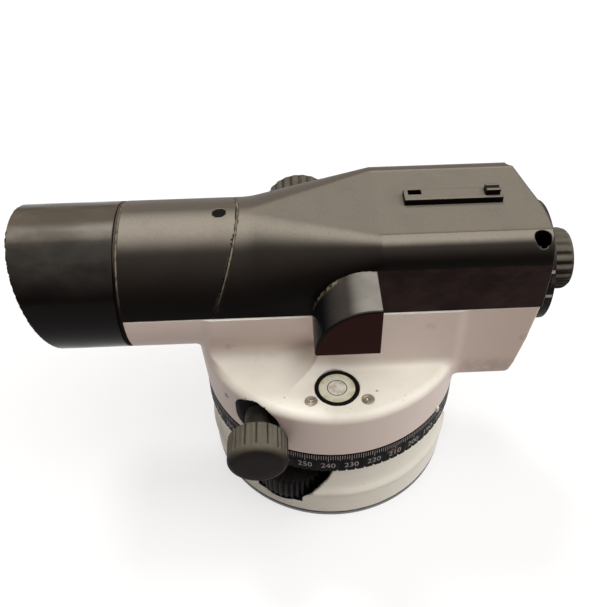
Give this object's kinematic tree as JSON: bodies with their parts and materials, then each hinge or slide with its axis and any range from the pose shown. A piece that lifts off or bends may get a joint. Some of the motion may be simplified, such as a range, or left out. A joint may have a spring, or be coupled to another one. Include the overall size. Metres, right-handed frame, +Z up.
{
  "type": "automatic optical level",
  "caption": "Automatic optical level: telescope with hood, focusing knob and eyepiece on a drum with tangent knobs, circular level and mirror, graduated circle, and a three-screw base.",
  "frame": {"origin": "centre of the base plate's underside, at the mouth of the tripod thread on the vertical axis", "axes": "+Z up along the vertical axis; -X is the way the objective looks, +X points to the eyepiece; +Y is the side of the focusing knob"},
  "size_m": [0.2038, 0.1236, 0.1285],
  "materials": {
    "black_texture": "fine textured matte paint",
    "cream_paint": "satin cream enamel",
    "satin_black": "satin black",
    "gloss_black": "gloss black",
    "circle_black": "black with white graduation",
    "knob_grey": "dark grey satin",
    "screw_black": "knurled black",
    "panel": "smooth dark maroon-brown, bare",
    "casting": "bare casting",
    "steel": "turned",
    "nickel": "nickel plate",
    "brass": "turned",
    "glass": "coated",
    "bubble_glass": "clear over tinted liquid",
    "mirror": "silvered"
  },
  "bodies": {
    "base": {"base_plate": "casting", "tripod_bush": "brass", "hold_down_nut": "steel"},
    "tilt_ring_1": {"disc_spring": "steel"},
    "tilt_ring_2": {"spring_cup": "steel"},
    "tribrach": {"tribrach": "cream_paint", "foot_bushes": "brass", "spindle": "steel", "spindle_screws": "steel", "spindle_nut": "steel", "circle_clip": "steel"},
    "foot_shoe_1": {"foot_shoe_1": "steel"},
    "foot_shoe_2": {"foot_shoe_2": "steel"},
    "foot_shoe_3": {"foot_shoe_3": "steel"},
    "foot_screw_1": {"foot_screw_1": "screw_black"},
    "foot_screw_2": {"foot_screw_2": "screw_black"},
    "foot_screw_3": {"foot_screw_3": "screw_black"},
    "circle": {"circle_ring": "circle_black"},
    "wheel": {"wheel_hub": "casting", "wheel_rim": "brass"},
    "alidade": {"lower_body": "cream_paint", "drum_floor": "casting", "drum_floor_screws": "steel", "front_cover": "black_texture", "top_cover": "black_texture", "cover_screws": "satin_black", "side_panel": "panel", "sight_rail": "satin_black", "index_mark": "cream_paint", "hood": "satin_black", "objective_cell": "satin_black", "objective_lenses": "glass", "optical_tube": "satin_black", "focus_bush": "brass", "compensator_frame": "casting", "fixed_prisms": "glass", "eyepiece_flange": "satin_black", "eyepiece_tube": "satin_black", "reticle_ring": "brass", "reticle_glass": "glass", "bubble_holder": "gloss_black", "bubble_vial": "bubble_glass", "bubble_screws": "nickel", "mirror_housing": "gloss_black", "bubble_mirror": "mirror", "worm_bushes": "satin_black"},
    "tangent_screw": {"worm_shaft": "steel", "worm": "brass", "tangent_knobs": "knob_grey"},
    "focus_drive": {"focus_shaft": "steel", "focus_pinion": "steel", "focus_knob": "knob_grey"},
    "carriage": {"focus_carriage": "brass", "focusing_lens": "glass", "focus_rack": "steel"},
    "eyepiece_ring": {"eyepiece_ring": "satin_black"},
    "ocular": {"ocular_cell": "satin_black", "ocular_lenses": "glass"},
    "pendulum": {"pendulum": "brass", "pendulum_prism": "glass"}
  },
  "joints": [
    {"name": "corner_1_lift", "type": "hinge", "parent": "base", "child": "tilt_ring_1", "pos_m": [0.00847, 0.01634, 0.005], "axis": [-0.8878, 0.4602, 0], "range_deg": [-0.43, 0.43]},
    {"name": "corner_2_lift", "type": "hinge", "parent": "tilt_ring_1", "child": "tilt_ring_2", "pos_m": [-0.01838, -0.00083, 0.005], "axis": [0.0454, -0.999, 0], "range_deg": [-0.43, 0.43]},
    {"name": "corner_3_lift", "type": "hinge", "parent": "tilt_ring_2", "child": "tribrach", "pos_m": [0.00991, -0.0155, 0.005], "axis": [0.8425, 0.5388, 0], "range_deg": [-0.43, 0.43]},
    {"name": "foot_1_slide", "type": "slide", "parent": "tribrach", "child": "foot_shoe_1", "axis": [0, 0, 1], "range_m": [-0.00042, 0.00042]},
    {"name": "foot_2_slide", "type": "slide", "parent": "tribrach", "child": "foot_shoe_2", "axis": [0, 0, 1], "range_m": [-0.00042, 0.00042]},
    {"name": "foot_3_slide", "type": "slide", "parent": "tribrach", "child": "foot_shoe_3", "axis": [0, 0, 1], "range_m": [-0.00042, 0.00042]},
    {"name": "foot_screw_1_turn", "type": "hinge", "parent": "foot_shoe_1", "child": "foot_screw_1", "pos_m": [-0.01694, -0.03267, 0.005], "axis": [0, 0, 1], "range_deg": [-200, 200]},
    {"name": "foot_screw_2_turn", "type": "hinge", "parent": "foot_shoe_2", "child": "foot_screw_2", "pos_m": [0.03676, 0.00167, 0.005], "axis": [0, 0, 1], "range_deg": [-200, 200]},
    {"name": "foot_screw_3_turn", "type": "hinge", "parent": "foot_shoe_3", "child": "foot_screw_3", "pos_m": [-0.01983, 0.031, 0.005], "axis": [0, 0, 1], "range_deg": [-200, 200]},
    {"name": "circle_turn", "type": "hinge", "parent": "tribrach", "child": "circle", "pos_m": [0, 0, 0.035], "axis": [0, 0, 1], "continuous": true},
    {"name": "swing", "type": "hinge", "parent": "tribrach", "child": "wheel", "pos_m": [0, 0, 0.0538], "axis": [0, 0, 1], "continuous": true},
    {"name": "fine_turn", "type": "hinge", "parent": "wheel", "child": "alidade", "pos_m": [0, 0, 0.0538], "axis": [0, 0, 1], "continuous": true},
    {"name": "tangent_screw_turn", "type": "hinge", "parent": "alidade", "child": "tangent_screw", "pos_m": [-0.0298, 0, 0.0538], "axis": [0, 1, 0], "continuous": true},
    {"name": "focus_turn", "type": "hinge", "parent": "alidade", "child": "focus_drive", "pos_m": [-0.0105, 0.03, 0.09417], "axis": [0, 1, 0], "range_deg": [-153, 153]},
    {"name": "focus_slide", "type": "slide", "parent": "alidade", "child": "carriage", "axis": [1, 0, 0], "range_m": [-0.008, 0.008]},
    {"name": "eyepiece_turn", "type": "hinge", "parent": "alidade", "child": "eyepiece_ring", "pos_m": [0.08, 0, 0.09417], "axis": [1, 0, 0], "range_deg": [-150, 150]},
    {"name": "ocular_slide", "type": "slide", "parent": "alidade", "child": "ocular", "axis": [1, 0, 0], "range_m": [-0.002, 0.002]},
    {"name": "pendulum_swing", "type": "hinge", "parent": "alidade", "child": "pendulum", "pos_m": [0.02, 0, 0.108], "axis": [0, 1, 0], "range_deg": [-0.4, 0.4]}
  ],
  "couplings": [
    {"joint": "foot_screw_1_turn", "follows": "corner_1_lift", "ratio": -462.44},
    {"joint": "foot_1_slide", "follows": "corner_1_lift", "m_per_rad": -0.0552},
    {"joint": "foot_screw_2_turn", "follows": "corner_2_lift", "ratio": -462.44},
    {"joint": "foot_2_slide", "follows": "corner_2_lift", "m_per_rad": -0.0552},
    {"joint": "foot_screw_3_turn", "follows": "corner_3_lift", "ratio": -462.44},
    {"joint": "foot_3_slide", "follows": "corner_3_lift", "m_per_rad": -0.0552},
    {"joint": "tangent_screw_turn", "follows": "fine_turn", "ratio": -52},
    {"joint": "focus_turn", "follows": "focus_slide", "rad_per_m": -333.33},
    {"joint": "ocular_slide", "follows": "eyepiece_turn", "m_per_rad": 0.00076}
  ]
}
